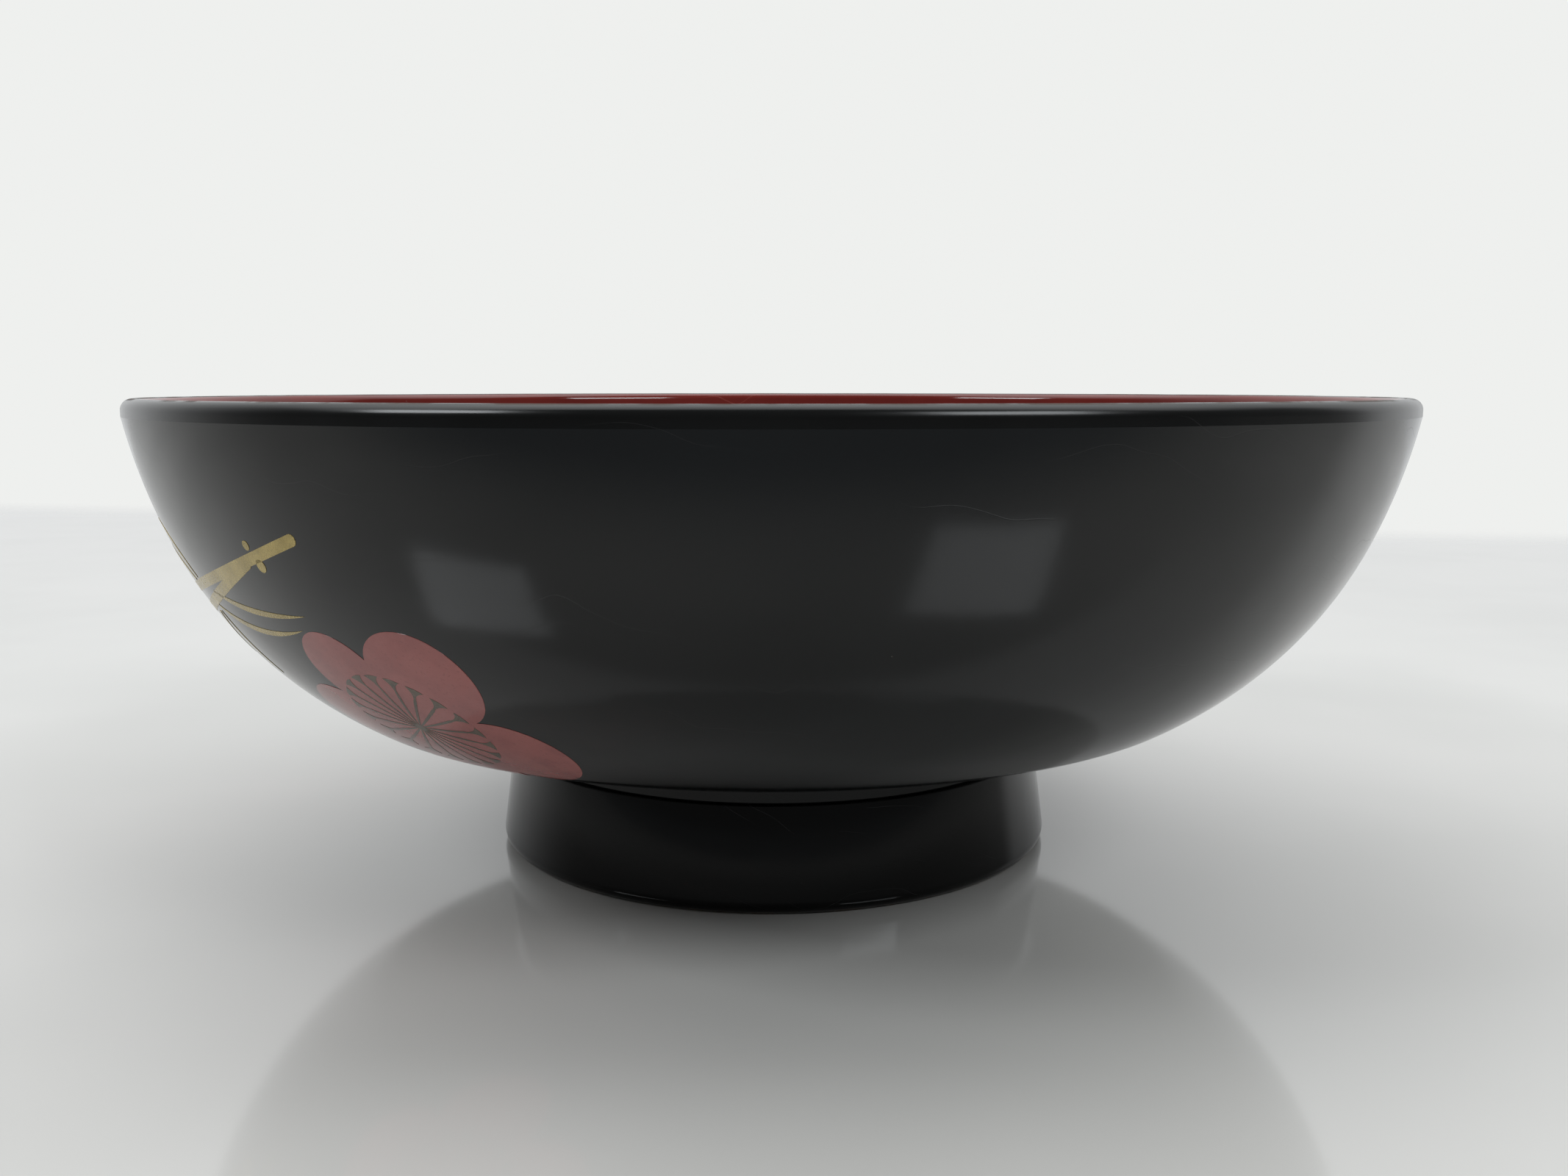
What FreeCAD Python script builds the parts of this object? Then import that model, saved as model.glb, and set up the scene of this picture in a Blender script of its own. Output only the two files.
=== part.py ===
import FreeCAD, Part
import os
from math import acos, atan2, cos, degrees, radians, sin, sqrt

# A footed lacquer serving bowl. Millimetres, +Z up, origin under the centre of the foot ring.
# The bowl and its foot ring are turned from wood. Lacquer coats cover them, and a thin raised
# motif of plum blossom, twig and needles lies on the outer coat.

# ---- driving dimensions of the bowl ----
rim_radius = 120.0            # outside radius at the lip
rim_height = 88.5             # crest of the lip above the table
band_bottom = 85.5            # lower edge of the upright band round the lip
lip_round = 1.92              # radius of the rounded crest, which sets the wall's thickness
red_edge_slope = 25.0         # where red lacquer gives way to black, on the inner side of the crest
crest_arcs = 6                # short arcs that make up the rounded crest
coat = 0.4                    # thickness of the lacquer

# The outside is a chain of arcs, tangent to each other, from the lip down to the underside.
# A slope is the angle of the outline above horizontal, in degrees.
side_radius = 101.5
side_slope = 79.0
belly_radius = 71.5
belly_slope = 66.0
hip_radius = 14.4
hip_slope = 30.4
underside_radius = 400.0
underside_slope = 12.0

# The inside has its own belly arc and a shallow floor.
bowl_radius = 58.0
floor_slope = 10.0

# ---- driving dimensions of the neck and the foot ring ----
neck_radius = 52.5
cove_radius = 3.0             # hollow between the neck and the underside
foot_height = 19.3            # shoulder of the foot ring, where the neck begins
foot_top_radius = 53.3
foot_top_round = 0.5
foot_wide_radius = 55.5
foot_round = 2.3              # radius of the ring's lower outside edge
foot_inner_radius = 48.8      # inside of the flat contact edge
foot_inner_round = 1.0
bore_radius = 47.0            # bore of the ring, glued round the spigot
spigot_bottom = 15.6

# ---- driving dimensions of the motif ----
petal_height = 0.12           # thickness of the petals on the coat
stamen_height = 0.08          # thickness of the stamens on the petals
gold_height = 0.14
cutter_reach = 18.0           # how far a motif's outline is carried through the curved wall

# Azimuth, slope and turn of each blossom, in degrees
blossom_places = ((-123.6, 41.9, 0.0), (163.0, 48.0, 35.0))
# Direction, distance from the blossom's middle and radius of each petal
petals = ((51.5, 15.6, 9.8), (118.0, 13.6, 8.2), (193.5, 15.4, 10.2), (263.0, 15.6, 10.0), (335.0, 15.7, 10.0))
stamen_count = 20
first_stamen = 3.0
hub_radius = 1.8
filament_width = 0.5
head_start = 10.8
head_end = 12.7
head_width = 2.6

# The twig's place, then points in millimetres along and up the wall from it
twig_place = (-140.0, 62.0, 0.0)
twig_strokes = (
    ((-34.0, -6.6), (0.0, 2.6), (30.4, 9.5)),
    ((-30.0, -10.2), (-6.0, -1.9), (16.0, 6.1)),
)
twig_width = 1.9
needle_tips = ((23.9, -2.9), (20.6, -5.6), (-7.0, -19.0), (-21.0, -18.0), (-34.0, 3.0), (-27.0, 9.0))
needle_roots = ((-6.0, -0.9), (-10.0, -4.4), (-12.0, -6.0), (-14.0, -6.5), (-16.0, -0.5), (-13.0, 0.6))
needle_bend = -0.06           # sideways bow of a needle as a share of its length
needle_widths = (0.35, 1.15)
dots = ((18.3, 9.0, 0.8), (19.9, 5.7, 1.1))


# ---- arcs and lines in the plane y = 0 ----
def point(r, z):
    return FreeCAD.Vector(r, 0, z)


def on_arc(centre, radius, slope):
    """Point of an arc where its outline has this slope."""
    angle = radians(slope)
    return point(centre.x + radius * sin(angle), centre.z - radius * cos(angle))


def slope_at(centre, place):
    """Slope of an arc about centre where it passes through place."""
    return degrees(atan2(place.x - centre.x, centre.z - place.z))


def arc(centre, radius, start_slope, end_slope):
    start = on_arc(centre, radius, start_slope)
    middle = on_arc(centre, radius, (start_slope + end_slope) / 2)
    end = on_arc(centre, radius, end_slope)
    return Part.Arc(start, middle, end).toShape()


def line(start, end):
    return Part.LineSegment(start, end).toShape()


def first_point(edges):
    return edges[0].valueAt(edges[0].FirstParameter)


def last_point(edges):
    return edges[-1].valueAt(edges[-1].LastParameter)


def turned(edges, start=0, sweep=360):
    """Turns a closed section about the Z axis."""
    origin = FreeCAD.Vector(0, 0, 0)
    axis = FreeCAD.Vector(0, 0, 1)
    face = Part.Face(Part.Wire(Part.__sortEdges__(edges)))
    face.rotate(origin, axis, start)
    return face.revolve(origin, axis, sweep)


def layer(surface, outer_depth, inner_depth, start=0, sweep=360):
    """Turns the space between two depths of a surface given as a function of depth."""
    outside = surface(outer_depth)
    inside = surface(inner_depth)
    first_edge = line(first_point(outside), first_point(inside))
    last_edge = line(last_point(outside), last_point(inside))
    return turned(outside + inside + [first_edge, last_edge], start, sweep)


# ---- surfaces of the bowl, each at a depth below the lacquered surface ----
side_centre = on_arc(point(rim_radius, band_bottom), -side_radius, side_slope)
belly_centre = on_arc(on_arc(side_centre, side_radius, belly_slope), -belly_radius, belly_slope)
hip_centre = on_arc(on_arc(belly_centre, belly_radius, hip_slope), -hip_radius, hip_slope)
underside_centre = on_arc(
    on_arc(hip_centre, hip_radius, underside_slope), -underside_radius, underside_slope
)
cove_across = neck_radius + cove_radius - underside_centre.x
cove_centre = point(
    neck_radius + cove_radius,
    underside_centre.z - sqrt((underside_radius + cove_radius) ** 2 - cove_across ** 2),
)
cove_slope = slope_at(underside_centre, cove_centre)


def wall_surface(depth):
    """Outside of the bowl from the lip's band to the cove."""
    return [
        arc(side_centre, side_radius - depth, side_slope, belly_slope),
        arc(belly_centre, belly_radius - depth, belly_slope, hip_slope),
        arc(hip_centre, hip_radius - depth, hip_slope, underside_slope),
        arc(underside_centre, underside_radius - depth, underside_slope, cove_slope),
    ]


def neck_surface(depth, bottom):
    """Cove and neck, down to the height bottom."""
    cove = arc(cove_centre, -cove_radius - depth, cove_slope, 90)
    return [cove, line(last_point([cove]), point(neck_radius - depth, bottom))]


def outer_surface(depth):
    """Outside of the bowl down to the foot ring's shoulder."""
    return wall_surface(depth) + neck_surface(depth, foot_height)


lip_centre = point(rim_radius - lip_round, rim_height - lip_round)
wall = side_radius + lip_round - side_centre.distanceToPoint(lip_centre)
lip_slope = slope_at(side_centre, lip_centre)
bowl_centre = on_arc(on_arc(side_centre, side_radius - wall, belly_slope), -bowl_radius, belly_slope)
floor_radius = bowl_radius + bowl_centre.x / sin(radians(floor_slope))
floor_centre = point(0, bowl_centre.z + (floor_radius - bowl_radius) * cos(radians(floor_slope)))


def inner_surface(depth):
    """Inside of the bowl from the middle of the floor up to the red lacquer's edge on the lip."""
    return [
        arc(floor_centre, floor_radius + depth, 0, floor_slope),
        arc(bowl_centre, bowl_radius + depth, floor_slope, belly_slope),
        arc(side_centre, side_radius - wall + depth, belly_slope, lip_slope),
        arc(lip_centre, depth - lip_round, lip_slope, red_edge_slope),
    ]


def lip_surface(depth):
    """Lip, from the red lacquer's edge over the crest and down the band."""
    step = (-90 - red_edge_slope) / crest_arcs
    slopes = [red_edge_slope + step * i for i in range(crest_arcs + 1)]
    crest = [arc(lip_centre, depth - lip_round, a, b) for a, b in zip(slopes, slopes[1:])]
    return crest + [line(last_point(crest), on_arc(side_centre, side_radius - depth, side_slope))]


def foot_surface(depth):
    """Foot ring, from the neck over its shoulder, round the contact edge and up the recess."""
    top = point(foot_top_radius - foot_top_round, foot_height - foot_top_round)
    low = point(foot_wide_radius - foot_round, foot_round)
    inside = point(foot_inner_radius, foot_inner_round)
    lean = atan2(top.z - low.z, top.x - low.x)
    wall_slope = 90 + degrees(lean - acos((foot_round - foot_top_round) / low.distanceToPoint(top)))
    shoulder = arc(top, foot_top_round - depth, 180, wall_slope)
    lower_edge = arc(low, foot_round - depth, wall_slope, 0)
    inner_edge = arc(inside, foot_inner_round - depth, 0, -90)
    recess_top = point(bore_radius - coat + depth, spigot_bottom - coat)
    return [
        line(point(neck_radius - coat, foot_height - depth), first_point([shoulder])),
        shoulder,
        line(last_point([shoulder]), first_point([lower_edge])),
        lower_edge,
        line(last_point([lower_edge]), first_point([inner_edge])),
        inner_edge,
        line(last_point([inner_edge]), recess_top),
    ]


# ---- turned wood ----
def bowl_core():
    """The bowl with its neck and spigot."""
    seat = foot_height - coat
    edges = inner_surface(coat) + lip_surface(coat) + wall_surface(coat) + neck_surface(coat, seat)
    corners = [
        last_point(edges),
        point(bore_radius, seat),
        point(bore_radius, spigot_bottom),
        point(0, spigot_bottom),
        first_point(edges),
    ]
    return turned(edges + [line(a, b) for a, b in zip(corners, corners[1:])])


def foot_ring_core():
    """The ring that is glued round the spigot and against the neck."""
    edges = foot_surface(coat)
    bore_top = point(bore_radius, foot_height - coat)
    return turned(edges + [line(last_point(edges), bore_top), line(bore_top, first_point(edges))])


# ---- lacquer ----
def lip_black_coat():
    """Thin ring over the lip, joined from two half rings."""
    halves = [layer(lip_surface, 0, coat, start, 180) for start in (0, 180)]
    return halves[0].fuse(halves[1])


def base_black_coat():
    """Disc on the bottom of the spigot, inside the foot ring."""
    return Part.makeCylinder(bore_radius, coat, point(0, spigot_bottom - coat))


# ---- motif: flat outlines, carried through the wall and cut to a thin layer on it ----
def flat(direction, distance):
    """Point of a flat outline, from a direction in degrees and a distance."""
    angle = radians(direction)
    return FreeCAD.Vector(distance * cos(angle), distance * sin(angle), 0)


def flat_disc(centre, radius):
    return Part.Face(Part.Wire(Part.makeCircle(radius, centre)))


def notch(first, second):
    """Outer crossing of two neighbouring petals' circles."""
    first_centre = flat(first[0], first[1])
    step = flat(second[0], second[1]) - first_centre
    distance = step.Length
    along = (first[2] ** 2 - second[2] ** 2 + distance ** 2) / (2 * distance)
    aside = sqrt(first[2] ** 2 - along ** 2)
    across = FreeCAD.Vector(step.y, -step.x, 0) * (aside / distance)
    return first_centre + step * (along / distance) + across


def blossom_outline():
    """Five round petals that meet in notches."""
    notches = [notch(a, b) for a, b in zip(petals, petals[1:] + petals[:1])]
    edges = []
    for petal, start, end in zip(petals, notches[-1:] + notches[:-1], notches):
        tip = flat(petal[0], petal[1] + petal[2])
        edges.append(Part.Arc(start, tip, end).toShape())
    return Part.Face(Part.Wire(edges))


def stamen_corners(direction):
    """A thin filament from the hub that widens into a straight-topped head."""
    turn = FreeCAD.Rotation(FreeCAD.Vector(0, 0, 1), direction)
    half = filament_width / 2
    side = [(hub_radius, half), (head_start, half * 1.6), (head_end, head_width / 2)]
    corners = [FreeCAD.Vector(x, -y, 0) for x, y in side]
    corners += [FreeCAD.Vector(x, y, 0) for x, y in reversed(side)]
    return [turn.multVec(corner) for corner in corners]


def stamens_outline():
    """Stamens all round a small hub, as one outline."""
    directions = [first_stamen + 360 / stamen_count * i for i in range(stamen_count)]
    corners = [corner for direction in directions for corner in stamen_corners(direction)]
    return Part.Face(Part.makePolygon(corners + corners[:1]))


def stroke(start, middle, end, start_width, end_width):
    """A brush stroke along an arc, with a rounded tip."""
    places = [FreeCAD.Vector(x, y, 0) for x, y in (start, middle, end)]
    path = Part.Arc(*places)
    widths = (start_width, (start_width + end_width) / 2, end_width)
    left = []
    right = []
    for place, width in zip(places, widths):
        along = path.tangent(path.parameter(place))[0]
        across = FreeCAD.Vector(-along.y, along.x, 0) * (width / 2)
        left.append(place + across)
        right.append(place - across)
    tip = places[-1] + path.tangent(path.parameter(places[-1]))[0] * (end_width / 2)
    edges = [
        Part.Arc(*left).toShape(),
        Part.Arc(left[-1], tip, right[-1]).toShape(),
        Part.Arc(*reversed(right)).toShape(),
        line(right[0], left[0]),
    ]
    return Part.Face(Part.Wire(edges))


def needle(root, tip):
    """A stroke that is bowed to one side and widens towards its tip."""
    across = (root[1] - tip[1], tip[0] - root[0])
    middle = [(root[i] + tip[i]) / 2 + across[i] * needle_bend for i in (0, 1)]
    return stroke(root, middle, tip, *needle_widths)


def on_wall(outline, place, low, high):
    """Lays a flat outline on the belly of the bowl, between two heights above the coat."""
    azimuth, slope, turn = place
    around = FreeCAD.Rotation(FreeCAD.Vector(0, 0, 1), azimuth)
    centre = around.multVec(on_arc(belly_centre, belly_radius, slope))
    along = around.multVec(FreeCAD.Vector(0, 1, 0))
    up = around.multVec(FreeCAD.Vector(cos(radians(slope)), 0, sin(radians(slope))))
    outward = around.multVec(FreeCAD.Vector(sin(radians(slope)), 0, -cos(radians(slope))))
    facing = FreeCAD.Rotation(along, up, outward, "ZXY")
    facing = facing.multiply(FreeCAD.Rotation(FreeCAD.Vector(0, 0, 1), turn))
    lifted = outline.copy()
    lifted.translate(FreeCAD.Vector(0, 0, -cutter_reach))
    cutter = lifted.extrude(FreeCAD.Vector(0, 0, cutter_reach * 1.5))
    cutter.Placement = FreeCAD.Placement(centre, facing)
    return layer(wall_surface, -low, -high).common(cutter)


def plum_petals():
    outline = blossom_outline()
    return [on_wall(outline, place, 0, petal_height) for place in blossom_places]


def plum_stamens():
    outline = stamens_outline()
    top = petal_height + stamen_height
    return [on_wall(outline, place, petal_height, top) for place in blossom_places]


def gold_twig():
    strokes = [stroke(*path, twig_width, twig_width) for path in twig_strokes]
    outline = strokes[0].fuse(strokes[1]).removeSplitter()
    return [on_wall(outline, twig_place, 0, gold_height)]


def gold_needles():
    outlines = [needle(root, tip) for root, tip in zip(needle_roots, needle_tips)]
    return [on_wall(outline, twig_place, 0, gold_height) for outline in outlines]


def gold_dots():
    outlines = [flat_disc(FreeCAD.Vector(x, y, 0), radius) for x, y, radius in dots]
    return [on_wall(outline, twig_place, 0, gold_height) for outline in outlines]


# ---- one STEP file for each piece ----
def save(name, shapes):
    solids = [solid for shape in shapes for solid in shape.Solids]
    piece = solids[0] if len(solids) == 1 else Part.makeCompound(solids)
    piece.exportStep("parts/" + name + ".step")
    print(name, len(solids), "solids", round(piece.Volume, 1), "mm3", "valid", piece.isValid())


os.makedirs("parts", exist_ok=True)
save("bowl_core", [bowl_core()])
save("foot_ring_core", [foot_ring_core()])
save("outer_black_coat", [layer(outer_surface, 0, coat)])
save("lip_black_coat", [lip_black_coat()])
save("inner_red_coat", [layer(inner_surface, 0, coat)])
save("foot_black_coat", [layer(foot_surface, 0, coat)])
save("base_black_coat", [base_black_coat()])
save("plum_petals", plum_petals())
save("plum_stamens", plum_stamens())
save("gold_twig", gold_twig())
save("gold_needles", gold_needles())
save("gold_dots", gold_dots())
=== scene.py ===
from math import acos, atan2, cos, degrees, hypot, pi, radians, sin, sqrt

import bpy
from mathutils import Matrix, Vector


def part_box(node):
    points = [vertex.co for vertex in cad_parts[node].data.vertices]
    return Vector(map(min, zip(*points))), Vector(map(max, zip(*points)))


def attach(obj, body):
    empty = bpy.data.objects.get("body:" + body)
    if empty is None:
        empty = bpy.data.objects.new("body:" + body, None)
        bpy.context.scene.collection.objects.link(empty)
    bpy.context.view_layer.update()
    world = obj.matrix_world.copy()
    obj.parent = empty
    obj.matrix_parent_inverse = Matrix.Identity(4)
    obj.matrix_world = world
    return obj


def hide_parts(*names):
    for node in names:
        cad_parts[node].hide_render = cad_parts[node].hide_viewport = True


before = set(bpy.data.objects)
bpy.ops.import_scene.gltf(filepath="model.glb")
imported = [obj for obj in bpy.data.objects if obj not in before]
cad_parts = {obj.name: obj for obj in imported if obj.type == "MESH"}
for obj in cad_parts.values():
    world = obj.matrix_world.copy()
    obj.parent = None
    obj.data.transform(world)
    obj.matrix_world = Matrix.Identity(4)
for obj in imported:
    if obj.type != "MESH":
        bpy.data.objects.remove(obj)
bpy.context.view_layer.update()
print("frame loaded:", len(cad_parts), "pieces")

mm = 0.001
turnSteps = 288  # faces round every turned piece


# Outlines are drawn in the plane y = 0, in millimetres. A slope is the outline's angle above
# horizontal in degrees. An arc is (centre, radius, first slope, last slope, steps), and
# anything else in an outline is a corner (x, z).

def onArc(centre, radius, slope):
    return (centre[0] + radius * sin(radians(slope)), centre[1] - radius * cos(radians(slope)))


def slopeAt(centre, place):
    return degrees(atan2(place[0] - centre[0], centre[1] - place[1]))


def arcThrough(start, middle, end, steps):
    # centre where the two chords' bisectors cross
    ax, az = middle[0] - start[0], middle[1] - start[1]
    bx, bz = end[0] - start[0], end[1] - start[1]
    twice = 2 * (ax * bz - az * bx)
    cx = (bz * (ax * ax + az * az) - az * (bx * bx + bz * bz)) / twice
    cz = (ax * (bx * bx + bz * bz) - bx * (ax * ax + az * az)) / twice
    centre = (start[0] + cx, start[1] + cz)
    first = slopeAt(centre, start)
    toEnd = (slopeAt(centre, end) - first) % 360
    if (slopeAt(centre, middle) - first) % 360 > toEnd:
        toEnd -= 360
    return (centre, hypot(cx, cz), first, first + toEnd, steps)


def backwards(outline):
    return [(s[0], s[1], s[3], s[2], s[4]) if len(s) == 5 else s for s in reversed(outline)]


def drawOutline(name, outline, closed=False):
    # one vertex is carried along the outline: extruded to each corner, spun along each arc
    bpy.ops.object.select_all(action="DESELECT")
    start = onArc(*outline[0][:3]) if len(outline[0]) == 5 else outline[0]
    bpy.ops.mesh.primitive_plane_add(size=mm, location=(start[0] * mm, 0, start[1] * mm))
    piece = bpy.context.object
    piece.name = piece.data.name = name
    bpy.ops.object.transform_apply(location=True, rotation=False, scale=False)
    bpy.ops.object.mode_set(mode="EDIT")
    bpy.ops.mesh.merge(type="CENTER")
    here = start
    for stretch in outline + [start] * closed:
        there = onArc(*stretch[:3]) if len(stretch) == 5 else stretch
        step = ((there[0] - here[0]) * mm, 0, (there[1] - here[1]) * mm)
        if hypot(step[0], step[2]) > 1e-7:
            bpy.ops.mesh.extrude_region_move(TRANSFORM_OT_translate={"value": step})
        here = there
        if len(stretch) == 5:
            centre, radius, first, last, steps = stretch
            pivot = (centre[0] * mm, 0, centre[1] * mm)
            bpy.ops.mesh.spin(steps=steps, angle=radians(last - first), center=pivot, axis=(0, 1, 0))
            here = onArc(centre, radius, last)
    bpy.ops.mesh.select_all(action="SELECT")
    bpy.ops.mesh.remove_doubles(threshold=1e-6)
    return piece


def turnPiece(name, outline, closed=True):
    # an outline that starts and ends on the axis closes by itself
    piece = drawOutline(name, outline, closed)
    bpy.ops.object.mode_set(mode="OBJECT")
    lathe = piece.modifiers.new("lathe", "SCREW")
    lathe.axis, lathe.angle, lathe.use_merge_vertices, lathe.merge_threshold = "Z", 2 * pi, True, 1e-6
    lathe.steps = lathe.render_steps = turnSteps
    bpy.ops.object.modifier_apply(modifier="lathe")
    bpy.ops.object.mode_set(mode="EDIT")
    bpy.ops.mesh.select_all(action="SELECT")
    bpy.ops.mesh.remove_doubles(threshold=1e-6)
    bpy.ops.mesh.normals_make_consistent(inside=False)
    bpy.ops.object.mode_set(mode="OBJECT")
    bpy.ops.object.shade_smooth_by_angle(angle=radians(30))
    print("turned", name, len(piece.data.polygons), "faces")
    return piece


# the bowl's shape
bowl = {
    "coat": 0.4,
    "sideRadius": 101.5, "sideSlope": 79.0,
    "bellyRadius": 71.5, "bellySlope": 66.0,
    "hipRadius": 14.4, "hipSlope": 30.4,
    "undersideRadius": 400.0, "undersideSlope": 12.0,
    "coveRadius": 3.0, "neckRadius": 52.5,
    "insideRadius": 58.0, "floorSlope": 10.0,
    "lipRound": 1.92, "redEdgeSlope": 25.0,
}
coat = bowl["coat"]
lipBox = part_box("lip_black_coat")[1] / mm
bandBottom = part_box("lip_black_coat")[0].z / mm
rimRadius, rimHeight = lipBox.x, lipBox.z

sideCentre = onArc((rimRadius, bandBottom), -bowl["sideRadius"], bowl["sideSlope"])
bellyTop = onArc(sideCentre, bowl["sideRadius"], bowl["bellySlope"])
bellyCentre = onArc(bellyTop, -bowl["bellyRadius"], bowl["bellySlope"])
hipTop = onArc(bellyCentre, bowl["bellyRadius"], bowl["hipSlope"])
hipCentre = onArc(hipTop, -bowl["hipRadius"], bowl["hipSlope"])
undersideTop = onArc(hipCentre, bowl["hipRadius"], bowl["undersideSlope"])
undersideCentre = onArc(undersideTop, -bowl["undersideRadius"], bowl["undersideSlope"])
coveX = bowl["neckRadius"] + bowl["coveRadius"]
coveReach = bowl["undersideRadius"] + bowl["coveRadius"]
coveCentre = (coveX, undersideCentre[1] - sqrt(coveReach ** 2 - (coveX - undersideCentre[0]) ** 2))
coveSlope = slopeAt(undersideCentre, coveCentre)
lipCentre = (rimRadius - bowl["lipRound"], rimHeight - bowl["lipRound"])
lipSlope = slopeAt(sideCentre, lipCentre)
innerSide = hypot(lipCentre[0] - sideCentre[0], lipCentre[1] - sideCentre[1]) - bowl["lipRound"]
insideTop = onArc(sideCentre, innerSide, bowl["bellySlope"])
insideCentre = onArc(insideTop, -bowl["insideRadius"], bowl["bellySlope"])
floorRadius = bowl["insideRadius"] + insideCentre[0] / sin(radians(bowl["floorSlope"]))
floorCentre = (0, insideCentre[1] + (floorRadius - bowl["insideRadius"]) * cos(radians(bowl["floorSlope"])))


def wallOutline(depth):
    return [
        (sideCentre, bowl["sideRadius"] - depth, bowl["sideSlope"], bowl["bellySlope"], 14),
        (bellyCentre, bowl["bellyRadius"] - depth, bowl["bellySlope"], bowl["hipSlope"], 32),
        (hipCentre, bowl["hipRadius"] - depth, bowl["hipSlope"], bowl["undersideSlope"], 14),
        (undersideCentre, bowl["undersideRadius"] - depth, bowl["undersideSlope"], coveSlope, 10),
    ]


def outerOutline(depth):
    cove = (coveCentre, -bowl["coveRadius"] - depth, coveSlope, 90, 14)
    return wallOutline(depth) + [cove, (bowl["neckRadius"] - depth, foot["height"])]


def innerOutline(depth):
    return [
        (floorCentre, floorRadius + depth, 0, bowl["floorSlope"], 24),
        (insideCentre, bowl["insideRadius"] + depth, bowl["floorSlope"], bowl["bellySlope"], 40),
        (sideCentre, innerSide + depth, bowl["bellySlope"], lipSlope, 16),
        (lipCentre, depth - bowl["lipRound"], lipSlope, bowl["redEdgeSlope"], 12),
    ]


def lipOutline(depth):
    crest = (lipCentre, depth - bowl["lipRound"], bowl["redEdgeSlope"], -90, 28)
    return [crest, onArc(sideCentre, bowl["sideRadius"] - depth, bowl["sideSlope"])]


# the foot ring's shape
foot = {
    "height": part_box("foot_black_coat")[1].z / mm,
    "topRadius": 53.3, "topRound": 0.5,
    "wideRadius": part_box("foot_black_coat")[1].x / mm, "lowerRound": 2.3,
    "innerRadius": 48.8, "innerRound": 1.0,
    "boreRadius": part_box("base_black_coat")[1].x / mm,
    "baseHeight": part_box("base_black_coat")[0].z / mm,
}


def footOutline(depth):
    top = (foot["topRadius"] - foot["topRound"], foot["height"] - foot["topRound"])
    low = (foot["wideRadius"] - foot["lowerRound"], foot["lowerRound"])
    inside = (foot["innerRadius"], foot["innerRound"])
    lean = atan2(top[1] - low[1], top[0] - low[0])
    apart = hypot(top[0] - low[0], top[1] - low[1])
    wallSlope = 90 + degrees(lean - acos((foot["lowerRound"] - foot["topRound"]) / apart))
    return [
        (bowl["neckRadius"] - coat, foot["height"] - depth),
        (top, foot["topRound"] - depth, 180, wallSlope, 10),
        (low, foot["lowerRound"] - depth, wallSlope, 0, 16),
        (inside, foot["innerRound"] - depth, 0, -90, 10),
        (foot["boreRadius"] - coat + depth, foot["baseHeight"]),
    ]


# turned lacquer pieces
outerCoat = turnPiece("outerBlackCoat", outerOutline(0) + backwards(outerOutline(coat)))
lipCoat = turnPiece("lipBlackCoat", lipOutline(0) + backwards(lipOutline(coat)))
innerCoat = turnPiece("innerRedCoat", innerOutline(0) + backwards(innerOutline(coat)), closed=False)
footCoat = turnPiece("footBlackCoat", footOutline(0) + backwards(footOutline(coat)))
baseOutline = [
    (0, foot["baseHeight"]), (foot["boreRadius"] - 4, foot["baseHeight"]),
    (foot["boreRadius"], foot["baseHeight"]), (foot["boreRadius"], foot["baseHeight"] + coat),
    (0, foot["baseHeight"] + coat),
]
baseCoat = turnPiece("baseBlackCoat", baseOutline, closed=False)

# painted motif
# Places are (azimuth, slope, turn) in degrees on the belly. Outlines are in millimetres along
# the wall and up it.
blossoms = {
    "places": [(-123.6, 41.9, 0.0), (163.0, 48.0, 35.0)],
    "petals": [  # direction, distance, radius
        (51.5, 15.6, 9.8), (118.0, 13.6, 8.2), (193.5, 15.4, 10.2), (263.0, 15.6, 10.0), (335.0, 15.7, 10.0),
    ],
    "height": 0.05,
}
stamens = {
    "count": 20, "first": 3.0, "hubRadius": 0.8, "filamentWidth": 0.55,
    "neck": 9.5, "flare": 11.8, "flareWidth": 1.265, "headEnd": 12.7, "headWidth": 3.0, "crown": 0.25,
    "thinUntil": 4.3, "thinWidth": 0.44, "height": 0.03,
}
twig = {
    "place": (-140.0, 62.0, 0.0),
    "strokes": [
        [(-34.0, -6.6), (0.0, 2.6), (30.4, 9.5)],
        [(-30.0, -10.2), (-6.0, -1.9), (16.0, 6.1)],
    ],
    "width": 1.9, "height": 0.06,
}
needles = {
    "tips": [(23.9, -2.9), (20.6, -5.6), (-7.0, -19.0), (-21.0, -18.0), (-34.0, 3.0), (-27.0, 9.0)],
    "roots": [(-6.0, -0.9), (-10.0, -4.4), (-12.0, -6.0), (-14.0, -6.5), (-16.0, -0.5), (-13.0, 0.6)],
    "bends": [-0.03, -0.06, -0.06, -0.06, -0.06, -0.06], "rootWidth": 0.4, "width": 1.1,
    "widestAt": 0.6,
}
dots = [(18.3, 9.0, 0.8), (19.9, 5.7, 1.1)]
painted = {"from": 124.4, "to": 275.6}  # azimuths that the motif lies between
cutter = {"start": -8.0, "length": 26.0}  # from outside the wall to inside it


def fromMiddle(direction, distance):
    return (distance * cos(radians(direction)), distance * sin(radians(direction)))


def petalNotch(first, second):
    # outer crossing of two neighbouring petals' circles
    ax, az = fromMiddle(*first[:2])
    bx, bz = fromMiddle(*second[:2])
    apart = hypot(bx - ax, bz - az)
    ux, uz = (bx - ax) / apart, (bz - az) / apart
    along = (first[2] ** 2 - second[2] ** 2 + apart ** 2) / (2 * apart)
    aside = sqrt(first[2] ** 2 - along ** 2)
    return (ax + ux * along + uz * aside, az + uz * along - ux * aside)


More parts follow.
